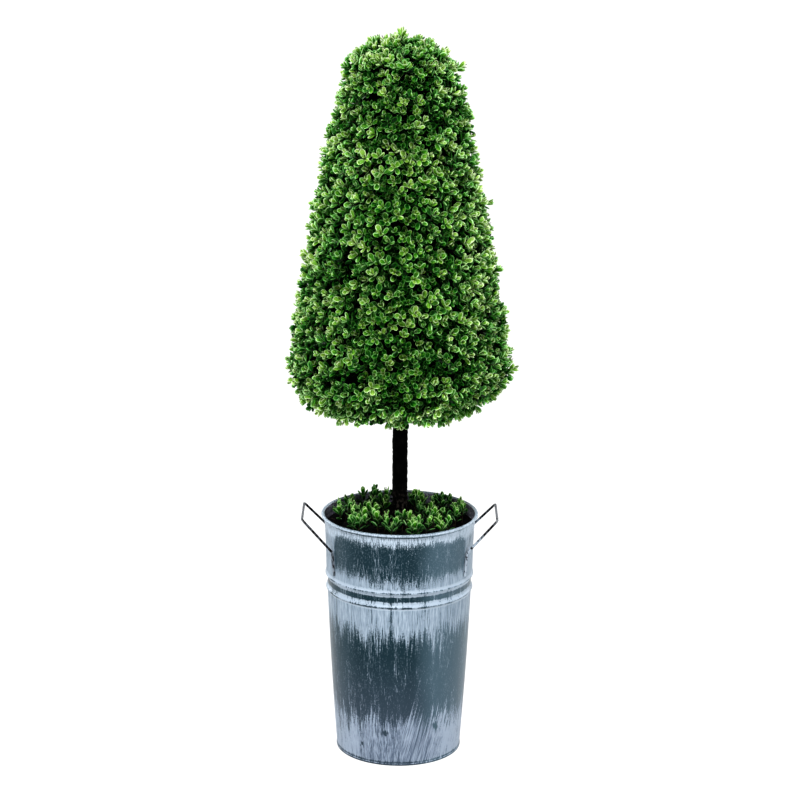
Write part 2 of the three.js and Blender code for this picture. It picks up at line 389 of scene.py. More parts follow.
def leaf_arrays():
    """The leaf's corners and triangles, and for each triangle a rim mark and a tone step.

    The stalk end is at the origin. The rim runs round the tip's side only."""
    leaf = leaf_model()
    places = np.array([vertex.co[:] for vertex in leaf.data.vertices])
    faces = np.array([face.vertices[:] for face in leaf.data.polygons])
    x, y, _ = places.T
    reach = np.hypot(x, y)
    inner = reach < 1 - RIM_WIDTH / 2
    along = 1 - ((1 - y) / 2) ** TIP_BLUNTNESS
    face_along = along[faces].mean(axis=1)
    # Rim faces take the paler rim green and blade faces near the tip a step up: painted highlights.
    rim = ~inner[faces].all(axis=1) & (face_along > RIM_FROM)
    step = np.where(~rim & (face_along > TIP_HIGHLIGHT_FROM), 1, 0)
    widening = np.sin(np.clip(along * 1.25, 0, 1) * math.pi / 2)
    narrowing = STALK_END_WIDTH + (1 - STALK_END_WIDTH) * widening
    sink = np.where(reach < 0.3, CENTRE_SINK, np.where(inner, BLADE_SINK, 0.0))
    height = LEAF_CUP * (0.8 * x**2 + 0.5 * along**3 - sink)
    shaped = np.column_stack([x * narrowing * LEAF_WIDTH / 2, along * LEAF_LENGTH, height])
    bpy.data.objects.remove(leaf)
    return shaped, faces, rim, step


leaf_places, leaf_faces, leaf_rim_highlight, tip_highlight_step = leaf_arrays()
print("leaf:", len(leaf_faces), "triangles,", int(leaf_rim_highlight.sum()), "of them rim")

# %% [markdown]
# ## Leaf colours
#
# The moulded sprigs are dyed in several greens. Each green is a plain colour with a paler one
# for the rim, a painted highlight, dealt out sprig by sprig, because a pattern would blur on
# leaves this small. The lists run from dark to light, so a leaf one step up its list is one tone
# paler; the steps within a sprig paint its light and shade.

# %% Leaf colours
BLADE_GREENS = [
    (2, 42, 2), (15, 80, 7), (61, 119, 29),
    (100, 149, 48), (126, 165, 68), (146, 178, 92),
]
# Rim greens are painted highlights: the pale edge where each leaf's cup catches the light.
RIM_HIGHLIGHT_GREENS = [
    (50, 110, 38), (110, 164, 94), (164, 205, 144),
    (188, 212, 162), (194, 212, 170), (198, 216, 178),
]
LEAF_SHEEN = 0.35
RIM_ROUGHNESS = 0.5

stalk_finish = Finish("sprig_stalk", Base_Color=linear(74, 62, 40), Roughness=0.7).material


def leaf_finishes(prefix, blades, rim_highlights, blade_roughness):
    """The finishes of one mix of leaves: its blade greens, its paler rim greens that are painted
    highlights, then the stalk.
    """
    finishes = []
    kinds = (("blade", blades, blade_roughness), ("rim", rim_highlights, RIM_ROUGHNESS))
    for kind, greens, roughness in kinds:
        for number, green in enumerate(greens):
            name = f"{prefix}_{kind}_{number}"
            settings = {"Roughness": roughness, "Specular_IOR_Level": LEAF_SHEEN}
            finishes.append(Finish(name, Base_Color=linear(*green), **settings).material)
    return [*finishes, stalk_finish]


crown_finishes = leaf_finishes("leaf", BLADE_GREENS, RIM_HIGHLIGHT_GREENS, 0.38)
print("leaf finishes:", len(crown_finishes))

# %% [markdown]
# ## Sprig
#
# Boxwood carries its leaves in crossed pairs. A sprig is grown by a rule: a stalk, and on it
# pairs of leaves from the tip down, each pair turned a quarter from the last, larger and more
# open than the one above. Chance varies every angle a little, from a fixed seed.


# %% Grow a sprig
STALK_RADIUS = 0.55 * MM
STALK_TONE = 99  # marks the stalk's faces among the tone steps
TURN_CHANCE, TILT_CHANCE, TWIST_CHANCE = 0.35, 0.20, 0.25  # radians either way
SIZES, WIDTHS, CUPS = (0.86, 1.10), (0.88, 1.08), (0.7, 1.3)


def either_way(chance, most):
    return chance.uniform(-most, most)


def turn(axis, angle):
    return np.array(Matrix.Rotation(angle, 3, axis))


def stalk_arrays(length, radius):
    """A three-sided stalk along +Z."""
    angles = np.arange(3) * math.tau / 3
    ring = np.stack([radius * np.cos(angles), radius * np.sin(angles)], axis=1)
    foot = np.column_stack([ring, np.zeros(3)])
    top = np.column_stack([ring, np.full(3, length)])
    faces = []
    for i in range(3):
        j = (i + 1) % 3
        faces += [(i, j, j + 3), (i, j + 3, i + 3)]
    return np.vstack([foot, top]), np.array(faces)


def grown_sprig(
    chance, length, pairs, first_open, last_open, spacing, smallest, slim=1.0, long=1.0
):
    """Places, triangles, tone steps and rim marks of one sprig from the origin up +Z.

    Tone steps count from the sprig's own green. The young top pair is a step paler than it, and
    each pair below is a step darker than the last: painted light and shade, lit at the sprig's
    tip and shaded on its lower leaves."""
    stalk_places, stalk_faces = stalk_arrays(length * 0.96, STALK_RADIUS)
    places, faces = [stalk_places], [stalk_faces]
    painted_light_steps = [np.full(len(stalk_faces), STALK_TONE)]
    rim_highlights = [np.zeros(len(stalk_faces), dtype=bool)]
    count = len(stalk_places)
    quarter = chance.uniform(0, math.pi)
    for pair in range(pairs):
        share = pair / (pairs - 1)
        size = smallest + (1 - smallest) * min(1.0, share * 2.0)
        opening = first_open + (last_open - first_open) * share**0.8
        height = length - smallest * long * LEAF_LENGTH - spacing * pair**1.2
        quarter += math.pi / 2 + either_way(chance, TURN_CHANCE)
        for side in (0, math.pi):
            scale = size * chance.uniform(*SIZES)
            tilt = opening + either_way(chance, TILT_CHANCE)
            twist = either_way(chance, TWIST_CHANCE)
            cup = chance.uniform(*CUPS)
            width = scale * slim * chance.uniform(*WIDTHS)
            shape = leaf_places * np.array([width, scale * long, scale * cup])
            # A leaf is drawn along +Y with its face up. It is stood up to point along +Z with
            # its face to the stalk, then tilted outwards.
            facing_in = turn("Z", side + quarter) @ turn("X", math.pi / 2 - tilt) @ turn("Y", twist)
            places.append(shape @ facing_in.T + np.array([0, 0, max(0.0, height)]))
            faces.append(leaf_faces + count)
            count += len(shape)
            # Each pair lower on the stalk is a step darker: painted shade on the lower leaves.
            painted_light_steps.append(tip_highlight_step + 1 - pair)
            rim_highlights.append(leaf_rim_highlight)
    return tuple(np.concatenate(part) for part in (places, faces, painted_light_steps, rim_highlights))


def leaf_slots(sprig, green, greens):
    """The finish of each face of a sprig of that green, out of a mix of so many greens."""
    _, _, painted_light_steps, rim_highlights = sprig
    slots = np.clip(green + painted_light_steps, 0, greens - 1) + np.where(rim_highlights, greens, 0)
    return np.where(painted_light_steps == STALK_TONE, 2 * greens, slots)


CROWN_SPRIG_KINDS = 24
CROWN_SPRIG_LENGTH = 30 * MM
CROWN_RULE = {"length": CROWN_SPRIG_LENGTH, "pairs": 4, "spacing": 3.9 * MM, "smallest": 0.7}
CROWN_RULE |= {"first_open": math.radians(21), "last_open": math.radians(63)}

chance = random.Random(SEED)
crown_sprigs = [grown_sprig(chance, **CROWN_RULE) for _ in range(CROWN_SPRIG_KINDS)]
print("crown sprig:", len(crown_sprigs[0][1]), "triangles")

# %% [markdown]
# ## Crown
#
# The crown is clipped, so its sprigs end on the CAD solid's face. Places are drawn at random over
# that face and kept only where no kept place is near, which is how sprigs sit when they are
# pushed into a former by hand: even, but never in rows.


# %% Choose the sprigs' places on the crown
def welded_copy(node, name):
    """A copy of a CAD node as a connected mesh."""
    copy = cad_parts[node].copy()
    copy.data = copy.data.copy()
    copy.name = copy.data.name = name
    scene.collection.objects.link(copy)
    copy.parent = None
    copy.matrix_world = Matrix.Identity(4)
    copy.data.materials.clear()
    select_only(copy)
    edit_all()
    bpy.ops.mesh.remove_doubles(threshold=0.01 * MM)
    stop_editing()
    return copy


def face_points(mesh, count, keep, draw):
    """Points and normals spread evenly by area over the mesh's faces that keep() accepts."""
    mesh.calc_loop_triangles()
    triangles = [t.vertices[:] for t in mesh.loop_triangles]
    corners = np.array([[mesh.vertices[v].co[:] for v in three] for three in triangles])
    normals = np.array([[mesh.vertices[v].normal[:] for v in three] for three in triangles])
    kept = keep(corners.mean(axis=1))
    corners, normals = corners[kept], normals[kept]
    edges = np.cross(corners[:, 1] - corners[:, 0], corners[:, 2] - corners[:, 0])
    area = np.linalg.norm(edges, axis=1) / 2
    chosen = draw.choice(len(area), size=count, p=area / area.sum())
    a, b = np.sqrt(draw.random(count)), draw.random(count)
    weights = np.stack([1 - a, a * (1 - b), a * b], axis=1)[:, :, None]
    points = (corners[chosen] * weights).sum(axis=1)
    directions = (normals[chosen] * weights).sum(axis=1)
    return points, directions / np.linalg.norm(directions, axis=1)[:, None], area.sum()


def spaced(points, gap):
    """Indices of points kept so that no two lie closer than gap, earlier ones first."""
    kept, cells = [], {}
    for index, point in enumerate(points):
        cell = tuple((point // gap).astype(int))
        near = (
            other
            for dx in (-1, 0, 1)
            for dy in (-1, 0, 1)
            for dz in (-1, 0, 1)
            for other in cells.get((cell[0] + dx, cell[1] + dy, cell[2] + dz), ())
        )
        if all(np.sum((points[other] - point) ** 2) > gap * gap for other in near):
            kept.append(index)
            cells.setdefault(cell, []).append(index)
    return np.array(kept)


def outside_bore(middles):
    return np.hypot(middles[:, 0], middles[:, 1]) > pole_radius * 1.2


FRONT_GAP, BACK_GAP = 13.5 * MM, 10.8 * MM  # between sprigs at the face, and with those behind
CANDIDATES = 30000
POLE_CLEARANCE = 9 * MM
TOP_DEPTH = 0.1  # metres below the tip where the pole no longer shows

draw = np.random.default_rng(SEED)
crown_high = np.array(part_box("crown_foliage")[1])
pole_low, pole_high = (np.array(corner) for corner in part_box("trunk_pole"))
pole_radius = (pole_high[0] - pole_low[0]) / 2

former = welded_copy("crown_foliage", "crown_former")
points, normals, crown_area = face_points(former.data, CANDIDATES, outside_bore, draw)
aside = np.hypot(points[:, 0], points[:, 1]) > pole_radius + POLE_CLEARANCE
clear_of_pole = aside | (points[:, 2] > crown_high[2] - TOP_DEPTH)
points, normals = points[clear_of_pole], normals[clear_of_pole]
front = spaced(points, FRONT_GAP)
order = np.concatenate([front, np.setdiff1d(np.arange(len(points)), front)])
kept = order[spaced(points[order], BACK_GAP)]
crown_points, crown_normals = points[kept], normals[kept]
in_front = np.arange(len(kept)) < len(front)
print("crown:", round(crown_area, 3), "square metres,", len(front), "front sprigs of", len(kept))

# %% [markdown]
# Each sprig leans a little from the face's normal and stops a little short of it or past it.
# The sprigs behind the front layer are pushed in deeper to fill the gaps and are two greens
# darker, painted shade for their depth. The greens come in drifts: a slow noise over the crown
# makes some patches paler, and chance does the rest. The copies are joined by height.


# %% Plant the crown
LEAN = math.radians(19)
UPWARD = 0.22  # how far a sprig turns from the normal towards the light
SPRIG_SIZES = (0.90, 1.08)
DEPTH_SPREAD, DEEPEST, PROUDEST = 5.7 * MM, -10 * MM, 8 * MM
# Sprigs behind the front layer sink deeper and are two greens darker: painted shade.
BACK_SINK, BACK_SHADE_STEP = 6.0 * MM, -2
TOP_SINK, SIDE_SINK, FRONT_DROP = 6.0 * MM, 15.0 * MM, 4.0 * MM
CROWN_PIECES = 5
GREEN_CHANCES = [0.03, 0.17, 0.42, 0.33, 0.05]
DRIFT_SCALE, DRIFT = 9.0, 0.16


def frame_along(direction, angle):
    """A rotation that stands +Z along direction and turns by angle about it."""
    swing = Vector((0, 0, 1)).rotation_difference(Vector(direction)).to_matrix()
    return np.array(swing) @ turn("Z", angle)


def green_at(point, draw):
    """The green of the sprig at a place: by chance, pushed by a slow drift over the plant."""
    drift = noise.noise(Vector(point) * DRIFT_SCALE) * DRIFT
    roll = min(max(draw.random() + drift, 0.0), 0.999)
    return int(np.searchsorted(np.cumsum(GREEN_CHANCES), roll))


def planted(points, normals, feet, shades, draw):
    """Copies of the crown's sprigs, one for each point."""
    copies = Copies()
    for point, normal, foot, shade in zip(points, normals, feet, shades):
        sprig = crown_sprigs[draw.integers(CROWN_SPRIG_KINDS)]
        direction = normal + draw.normal(0, LEAN / 2, 3) + np.array([0.0, 0.0, UPWARD])
        direction /= np.linalg.norm(direction)
        size = draw.uniform(*SPRIG_SIZES)
        turned = sprig[0] * size @ frame_along(direction, draw.uniform(0, math.tau)).T
        green = max(0, green_at(point, draw) + shade)
        slots = leaf_slots(sprig, green, len(BLADE_GREENS))
        copies.add(turned + point - direction * foot, sprig[1], slots)
    return copies


def depths(normals, draw):
    """How far the sprigs at these normals are pushed in past the face.

    The top is clipped flatter than the sides. The lower edge is cut rounder at the left and
    right than at the front and back, where it hangs a little."""
    upward = np.clip(normals[:, 2], 0, 1) ** 2
    downward = np.clip(-normals[:, 2], 0, 1)
    sideways, forwards = np.abs(normals[:, :2]).T
    spread = np.clip(draw.normal(0, DEPTH_SPREAD, len(normals)), DEEPEST, PROUDEST)
    edge = downward * (SIDE_SINK * sideways - FRONT_DROP * forwards)
    return TOP_SINK * upward + edge + spread * (1 - 0.35 * upward)


order = np.argsort(crown_points[:, 2])
for number, part in enumerate(np.array_split(order, CROWN_PIECES), start=1):
    sinks = np.where(in_front[part], 0.0, BACK_SINK)
    feet = CROWN_SPRIG_LENGTH + sinks + depths(crown_normals[part], draw)
    shades = np.where(in_front[part], 0, BACK_SHADE_STEP)
    sprigs = planted(crown_points[part], crown_normals[part], feet, shades, draw)
    piece = sprigs.joined(f"crown_leaves_{number}")
    finished(piece, crown_finishes, ["crown_foliage"])

# %% [markdown]
# Behind the sprigs lies the former they are pushed into. It is the CAD solid drawn inwards along
# its normals and coloured nearly black, painted shade that makes the gaps between leaves deep.

# %% Former
FORMER_DEPTH = 25 * MM
# Nearly black: painted shade for the gaps between the sprigs.
FORMER_SHADE_LOOK = {"Base_Color": linear(4, 8, 4), "Roughness": 1.0, "Specular_IOR_Level": 0.05}

former_shade_finish = Finish("former_painted_shade", **FORMER_SHADE_LOOK).material
select_only(former)
edit_all()
bpy.ops.transform.shrink_fatten(value=-FORMER_DEPTH)
stop_editing()
finished(former, [former_shade_finish], ["crown_foliage"])

# %% [markdown]
# ## Bucket wall
#
# The bucket is one rolled sheet: a hem at the foot, two pressed beads below a flared collar, and
# a wire-rolled rim. It is raised ring by ring from a circle, as the sheet runs. The last ring
# meets the first, so the sheet has a real thickness and closes.

# %% Raise the bucket's wall
BUCKET_SIDES = 128
SHEET = 0.8  # thickness, mm
HEM = [(96.1, 0.0), (96.9, 0.0), (97.3, 0.4), (97.5, 1.2), (97.5, 3.2), (97.3, 4.2), (96.9, 5.2)]
BODY_FOOT, BODY_HEAD = (96.9, 6.0), (111.4, 256.0)
BODY_SWELL = 1.2
COLLAR = [(113.5, 290.5), (113.8, 305.0), (114.3, 330.0), (115.3, 352.0), (116.7, 372.8)]
RIM_CENTRE, RIM_ROLL = (118.7, 378.4), 2.6
RIM_START, RIM_END = -2.2, 3.4  # radians round the roll


def swept(first, last, steps, bulge):
    """Points of a nearly straight run that swells by bulge in its middle."""
    return [
        (
            first[0] + (last[0] - first[0]) * i / steps + bulge * math.sin(math.pi * i / steps),
            first[1] + (last[1] - first[1]) * i / steps,
        )
        for i in range(steps + 1)
    ]


def bead(height, crest, below, above, half=4.5, steps=10):
    """Points of a pressed bead, a smooth hump between two radii."""
    points = []
    for i in range(1, steps + 1):
        t = i / steps
        base = below + (above - below) * t
        hump = math.sin(math.pi * t) ** 2.2
        points.append((base + (crest - (below + above) / 2) * hump, height - half + 2 * half * t))
    return points


def rolled_rim(steps=18):
    angles = [RIM_START + (RIM_END - RIM_START) * i / steps for i in range(steps + 1)]
    r, z = RIM_CENTRE
    return [(r + RIM_ROLL * math.cos(a), z + RIM_ROLL * math.sin(a)) for a in angles]


sheet_line = [
    *swept(BODY_FOOT, BODY_HEAD, 9, BODY_SWELL),
    (111.5, 258.2),
    *bead(263.0, 113.9, 111.4, 111.3),
    (111.3, 270.0),
    (111.3, 278.0),
    *bead(285.0, 114.9, 111.3, 113.5),
    *COLLAR,
]
inner_line = [(r - SHEET, z) for r, z in reversed(sheet_line)]
wall_outline = [*HEM, *sheet_line, *rolled_rim(), *inner_line, HEM[0]]


def raised(name, outline, sides, capped=False):
    """A skin raised ring by ring from a circle, through an outline of (radius, height) in mm."""
    radius, height = outline[0]
    fill = "NGON" if capped else "NOTHING"
    ring = {"vertices": sides, "radius": radius * MM, "location": (0, 0, height * MM)}
    piece = started(name, bpy.ops.mesh.primitive_circle_add, fill_type=fill, **ring)
    edit_all()
    if capped:
        bpy.ops.mesh.select_mode(type="EDGE")
        bpy.ops.mesh.region_to_loop()
    for (r1, z1), (r2, z2) in zip(outline, outline[1:]):
        bpy.ops.mesh.extrude_region_move(TRANSFORM_OT_translate={"value": (0, 0, (z2 - z1) * MM)})
        bpy.ops.transform.resize(value=(r2 / r1, r2 / r1, 1), center_override=(0, 0, z2 * MM))
    if capped:
        bpy.ops.mesh.edge_face_add()
    weld_and_stop(0.02 * MM)
    return piece


def smoothed(piece, degrees):
    select_only(piece)
    bpy.ops.object.shade_smooth_by_angle(angle=math.radians(degrees))


bucket = raised("bucket_sheet", wall_outline, BUCKET_SIDES)
smoothed(bucket, 40)
OUTSIDE, INSIDE = 0, 1
UNDER_ROLL = 116.3 * MM  # the bare inside ends at this radius
for face in bucket.data.polygons:
    outward = Vector((face.center.x, face.center.y, 0)).normalized()
    bare = face.normal.dot(outward) < -0.3 and face.center.xy.length < UNDER_ROLL
    face.material_index = INSIDE if bare else OUTSIDE
print("wall rings:", len(wall_outline), "rim top", max(z for _, z in wall_outline))

# %% [markdown]
# ## Whitewash
#
# The metal is a dark slate blue, and white paint was dragged over it with a nearly dry brush:
# thick at the rim, on the beads and at the foot, and running out in upright strokes between them.
# So the finish starts from how much paint each height got. Noise drawn out along the height makes
# that ragged, and a step turns it into paint or bare metal.

# %% Whitewash finish
# Three narrow dips in the share, at 261 to 262 mm, 285 to 286 mm and 375 to 376 mm, are painted
# shade: dark lines at the two beads and in the neck under the rim's roll.
PAINT_AND_SHADE_BY_HEIGHT = [
    # height in mm, and the share of the metal that is painted there
    (0.0, 0.00), (1.8, 0.05), (2.4, 0.80), (4.0, 0.75), (4.6, 0.10), (5.6, 0.20),
    (6.6, 0.90), (20.0, 0.95), (44.0, 0.86), (66.0, 0.60), (86.0, 0.24), (104.0, 0.08),
    (176.0, 0.08), (194.0, 0.24), (214.0, 0.52), (236.0, 0.88), (257.0, 0.90), (258.6, 0.95),
    (260.4, 0.95), (261.2, 0.30), (262.4, 0.30), (263.6, 0.82), (270.0, 0.74), (271.6, 0.12),
    (278.0, 0.12), (279.8, 0.80), (284.2, 0.85), (285.0, 0.35), (285.8, 0.35), (286.8, 0.92),
    (298.0, 0.84), (306.0, 0.56), (318.0, 0.16), (336.0, 0.08), (354.0, 0.12), (361.0, 0.42),
    (367.0, 0.72), (374.2, 0.80), (375.0, 0.05), (376.0, 0.10), (377.0, 0.78), (380.0, 0.70),
    (381.2, 0.45),
]
TABLE_TOP = 400.0  # mm
METAL_HIGH, METAL_LOW = linear(14, 43, 52), linear(52, 65, 76)
# A paler metal colour, laid on the sides as a painted reflection.
METAL_REFLECTION = linear(76, 96, 107)
PAINT_HIGH, PAINT_LOW = linear(155, 167, 179), linear(147, 158, 172)
PAINT_LIP = linear(168, 180, 192)
WASH_HIGH, WASH_LOW = linear(108, 123, 136), linear(80, 92, 109)
CHIPS = [
    # x, height, half width, half height, in mm, all on the front
    (57.0, 60.0, 4.4, 8.0),
    (-56.0, 31.0, 1.8, 3.2),
    (-21.0, 55.0, 6.5, 5.0),
]
# The heights in metres over which each band of the wall begins and ends.
LOW_WALL_END = (0.07, 0.20)
COLLAR_FOOT, BELLY_END = (0.284, 0.296), (0.302, 0.318)
LIP_FOOT, RIM_FOOT = (0.350, 0.362), (0.3735, 0.3765)
# The underside of the rim's roll, painted darker as shade.
SHADE_UNDER_ROLL = ((0.3742, 0.3756), (0.3770, 0.3784))
LOWER_BEAD = ((0.2570, 0.2590), (0.2700, 0.2720))
UPPER_BEAD = ((0.2785, 0.2800), (0.289, 0.292))
BRUSH_SLANT = math.radians(-14)


def between(signal, rise, fall):
    """1 from where the signal has risen to where it has yet to fall."""
    return signal.smooth(*rise) * (1 - signal.smooth(*fall))


def ragged(finish, place, across, along, amount, detail=2.0):
    """Upright streaks around zero: noise that is narrow across the wall and long up it."""
    streaks = finish.grain(place, (across, across, along), detail=detail, roughness=0.6)
    return (streaks - 0.5) * amount


def chip_mask(finish, place, x, height, half_width, half_height):
    """1 in a small ragged oval on the front of the wall."""
    scale = (1 / (half_width * MM), 0.0, 1 / (half_height * MM))
    shift = (x * MM * scale[0], 0.0, height * MM * scale[2])
    values = {0: finish.stretched(place, scale), 1: shift}
    offset = finish.node("ShaderNodeVectorMath", {"operation": "SUBTRACT"}, values)
    settings = {"operation": "LENGTH"}
    length = finish.node("ShaderNodeVectorMath", settings, {0: offset}, output="Value")
    edge = length + ragged(finish, place, 600.0, 90.0, 2.4)
    front = 1 - finish.axis(place, "Y").smooth(-0.03, -0.01)
    return (1 - edge.smooth(0.7, 1.1)) * front


def whitewash():
    """White paint brushed thinly over dark metal."""
    tint = {"Specular_IOR_Level": 0.3, "Specular_Tint": (0.84, 0.93, 1.0, 1.0)}
    finish = Finish("washed_metal", **tint)
    place = finish.place()
    across, height = finish.axis(place, "X"), finish.axis(place, "Z")
    stops = [(z / TABLE_TOP, share) for z, share in PAINT_AND_SHADE_BY_HEIGHT]
    share = finish.ramp(height * (1 / (TABLE_TOP * MM)), stops)
    low = 1 - height.smooth(*LOW_WALL_END)
    collar, lip, rim = (height.smooth(*foot) for foot in (COLLAR_FOOT, LIP_FOOT, RIM_FOOT))
    # Near the foot on the right the brush was dragged aslant.
    mapping = {"Vector": place, "Rotation": (0, BRUSH_SLANT, 0)}
    aslant = finish.node("ShaderNodeMapping", values=mapping)
    lean = low * across.smooth(0.000, 0.012)
    upright = ragged(finish, place, 130.0, 5.0, 1.5) + ragged(finish, place, 640.0, 14.0, 1.7)
    dragged = ragged(finish, aslant, 150.0, 3.0, 1.5) + ragged(finish, aslant, 460.0, 4.0, 2.1)
    short = ragged(finish, place, 150.0, 14.0, 0.7) + ragged(finish, place, 760.0, 60.0, 1.6)
    strokes = upright * (1 - lean) * (1 - collar) + dragged * lean + short * collar
    patches = ragged(finish, place, 26.0, 12.0, 0.7)
    grit = ragged(finish, place, 900.0, 500.0, 1.1, detail=1.0)
    uneven = (strokes + patches) * (1 - rim * 0.75) + grit
    # The collar got more paint round the handles' legs, and less low down in its middle.
    aside = across * across
    by_handles = aside.smooth(0.0092, 0.0104) * collar
    belly = (1 - aside.smooth(0.0004, 0.0060)) * collar * (1 - height.smooth(*BELLY_END))
    paint = (share * 1.2 + by_handles * 0.7 - belly * 0.28 + uneven).smooth(0.36, 0.84)
    hair_scale = (1150.0, 1150.0, 30.0)
    upright_hairs = finish.grain(place, hair_scale, roughness=0.7) * (1 - lean)
    hairs = upright_hairs + finish.grain(aslant, hair_scale, roughness=0.7) * lean
    clusters = ragged(finish, place, 60.0, 6.0, 0.5)
    dashes = (hairs + clusters).smooth(0.67, 0.73)
    specks = finish.grain(place, (1300.0, 1300.0, 500.0), detail=0.0)
    dots = (specks + clusters * 0.4 + collar * 0.04).smooth(0.72, 0.80)
    flecks = (dashes * 0.75 + dots * 0.6).at_least(paint)
    # The lip's paint is thick but scored by fine hairs, and the underside of its roll is darkened:
    # painted shade under the roll.
    scored = lip * (1 - (hairs + strokes * 0.1).smooth(0.38, 0.50))
    roll = between(height, *SHADE_UNDER_ROLL)
    flecks = flecks * (1 - scored * 0.62) * (1 - roll * (0.25 + scored * 0.5))
    for chip in CHIPS:
        flecks = flecks * (1 - chip_mask(finish, place, *chip))
    # The metal is painted lighter at the right and, a little, at the left: a painted reflection.
    painted_reflection = (across + patches * 0.02).smooth(0.018, 0.058) * 0.8
    painted_reflection = painted_reflection.at_least(across.smooth(-0.060, -0.090) * 0.2)
    metal = finish.blend(painted_reflection, finish.blend(low, METAL_HIGH, METAL_LOW), METAL_REFLECTION)
    bright = finish.blend(lip, finish.blend(low, PAINT_HIGH, PAINT_LOW), PAINT_LIP)
    thin = finish.blend(low, WASH_HIGH, WASH_LOW)
    # The paint is thickest on the beads and the lip, and thicker at the sides of the low wall.
    crest = between(height, *LOWER_BEAD).at_least(between(height, *UPPER_BEAD))
    crest = crest.at_least(height.smooth(0.354, 0.364) * 0.95)
    sides = low * aside.smooth(0.0015, 0.0060) * 0.22
    body = (hairs + strokes * 0.27 + crest * 0.35 + sides).smooth(0.30, 0.72)
    white = finish.blend(body, thin, bright)
    finish.feed("Base Color", finish.blend(flecks, metal, white))
    finish.feed("Roughness", 0.3 + flecks * 0.15)
    finish.relief(flecks + hairs * 0.4, distance=0.12 * MM, strength=0.5)
    return finish.material


def inside_metal():
    """The bare inside of the sheet: dull, brushed and a little purple."""
    finish = Finish("bucket_inside", Specular_IOR_Level=0.3)
    place = finish.place()
    brushing = finish.grain(place, (90.0, 90.0, 700.0), detail=3.0)
    dull = finish.blend(brushing.smooth(0.3, 0.7), linear(86, 82, 98), linear(138, 136, 152))
    specks = finish.grain(place, (420.0, 420.0, 300.0), detail=2.0).smooth(0.56, 0.66)
    finish.feed("Base Color", finish.blend(specks * 0.8, dull, linear(212, 214, 222)))
    finish.feed("Roughness", 0.4 + brushing * 0.2)
    finish.relief(brushing, distance=0.08 * MM, strength=0.5)
    return finish.material


finished(bucket, [whitewash(), inside_metal()], ["bucket_wall"])

# %% [markdown]
# ## Bucket base
#
# The base is a plain disc in the foot of the sheet, seen only when the bucket is lifted. The CAD
# disc is already its shape, so it stays and only gets a finish: dull zinc with the large pale
# flakes of galvanised sheet.


# %% Base finish
def zinc():
    finish = Finish("base_zinc", Metallic=0.6)
    place = finish.place()
    settings = {"feature": "F1", "voronoi_dimensions": "3D"}
    values = {"Vector": place, "Scale": 90.0}
    flakes = finish.node("ShaderNodeTexVoronoi", settings, values, output="Color")
    tone = finish.node("ShaderNodeSeparateColor", values={0: flakes})
    finish.feed("Base Color", finish.blend(tone, linear(120, 126, 134), linear(164, 170, 178)))
    finish.feed("Roughness", 0.4 + tone * 0.2)
    return finish.material


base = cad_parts["bucket_base"]
base.data.materials.clear()
base.data.materials.append(zinc())
print("base finish:", base.data.materials[0].name)

# %% [markdown]
# ## Wire handles
#
# Each handle is one bent wire: up the wall, out to a straight grip and back. A circle that is
# pulled out along straights and spun round corners keeps its section round, as on a bending jig.

# %% Bend the handles
WIRE_RADIUS = 1.8 * MM
WIRE_BEND = 5.0 * MM
WIRE_SIDES = 16
# The back half of the handle on the right, from its foot to its grip, in mm.
HALF_HANDLE = [(100.20, 58.0, 296.0), (103.30, 54.0, 332.0), (149.50, 45.0, 381.0)]
HANDLE_CORNERS = [Vector((x, -y, z)) * MM for x, y, z in HALF_HANDLE]
HANDLE_CORNERS += [Vector(corner) * MM for corner in reversed(HALF_HANDLE)]


def selected_middle(piece):
    corners = [v.co for v in bmesh.from_edit_mesh(piece.data).verts if v.select]
    return sum(corners, Vector()) / len(corners)


def bent_wire(name, corners):
    """A round wire through the corners, each rounded to the wire's bend."""
    heading = (corners[1] - corners[0]).normalized()
    section = {"vertices": WIRE_SIDES, "radius": WIRE_RADIUS, "fill_type": "NOTHING"}
    section |= {"location": corners[0], "rotation": heading.to_track_quat("Z", "Y").to_euler()}
    wire = started(name, bpy.ops.mesh.primitive_circle_add, **section)
    bpy.ops.object.transform_apply(location=True, rotation=True, scale=True)
    edit_all()
    bpy.ops.mesh.select_mode(type="EDGE")
    here = corners[0].copy()
    for corner, beyond in zip(corners[1:], corners[2:]):
        after = (beyond - corner).normalized()
        angle = heading.angle(after)
        start = corner - heading * WIRE_BEND * math.tan(angle / 2)
        bpy.ops.mesh.extrude_region_move(TRANSFORM_OT_translate={"value": start - here})
        inward = (after - heading * heading.dot(after)).normalized()
        axis = heading.cross(after).normalized()
        centre = start + inward * WIRE_BEND
        bpy.ops.mesh.spin(steps=6, angle=-angle, center=centre, axis=axis)
        here = corner + after * WIRE_BEND * math.tan(angle / 2)
        if (selected_middle(wire) - here).length > 0.05 * MM:
            raise RuntimeError("a bend went the wrong way")
        heading = after
    bpy.ops.mesh.extrude_region_move(TRANSFORM_OT_translate={"value": corners[-1] - here})
    bpy.ops.mesh.select_all(action="SELECT")
    bpy.ops.mesh.select_non_manifold(extend=False)
    bpy.ops.mesh.edge_face_add()
    weld_and_stop(0.01 * MM)
    smoothed(wire, 40)
    return wire


